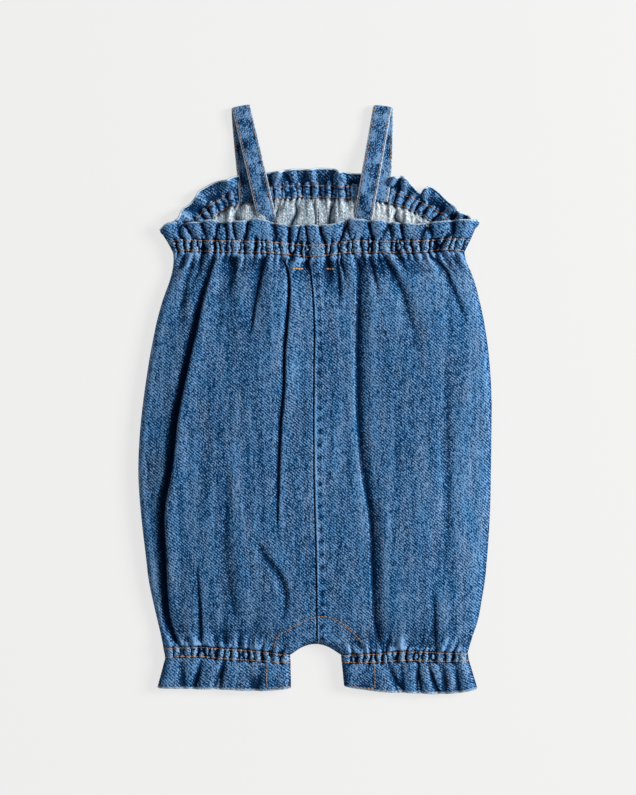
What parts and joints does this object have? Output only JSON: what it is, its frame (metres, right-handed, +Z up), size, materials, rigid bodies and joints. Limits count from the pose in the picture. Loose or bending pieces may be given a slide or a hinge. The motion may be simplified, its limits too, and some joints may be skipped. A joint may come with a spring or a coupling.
{
  "type": "baby romper",
  "caption": "Baby's blue denim bubble romper laid flat on its back: gathered front and back panels, ruffled elastic neck and leg casings, and two flat shoulder straps.",
  "frame": {"origin": "middle of the bounding box, on the table the romper lies on", "axes": "+X across the romper, to the right as seen from above; +Y from the leg hems to the shoulder straps; +Z up, out of the front of the garment"},
  "size_m": [0.2691, 0.4504, 0.0197],
  "materials": {
    "front_panel_left": "washed denim, matt twill",
    "front_panel_right": "washed denim, matt twill",
    "front_casing": "washed denim, matt twill",
    "front_ruffle": "washed denim, matt twill",
    "front_leg_casing_left": "washed denim, matt twill",
    "front_leg_casing_right": "washed denim, matt twill",
    "front_leg_ruffle_left": "washed denim, matt twill",
    "front_leg_ruffle_right": "washed denim, matt twill",
    "back_panel_left": "washed denim, matt twill",
    "back_panel_right": "washed denim, matt twill",
    "back_casing": "washed denim, matt twill",
    "back_ruffle": "washed denim, matt twill",
    "back_leg_casing_left": "washed denim, matt twill",
    "back_leg_casing_right": "washed denim, matt twill",
    "back_leg_ruffle_left": "washed denim, matt twill",
    "back_leg_ruffle_right": "washed denim, matt twill",
    "strap_left": "washed denim, matt twill",
    "strap_right": "washed denim, matt twill"
  },
  "bodies": {
    "root": {"front_panel_left": "front_panel_left", "front_panel_right": "front_panel_right", "front_casing": "front_casing", "front_ruffle": "front_ruffle", "front_leg_casing_left": "front_leg_casing_left", "front_leg_casing_right": "front_leg_casing_right", "front_leg_ruffle_left": "front_leg_ruffle_left", "front_leg_ruffle_right": "front_leg_ruffle_right", "back_panel_left": "back_panel_left", "back_panel_right": "back_panel_right", "back_casing": "back_casing", "back_ruffle": "back_ruffle", "back_leg_casing_left": "back_leg_casing_left", "back_leg_casing_right": "back_leg_casing_right", "back_leg_ruffle_left": "back_leg_ruffle_left", "back_leg_ruffle_right": "back_leg_ruffle_right", "strap_left": "strap_left", "strap_right": "strap_right"}
  },
  "joints": []
}
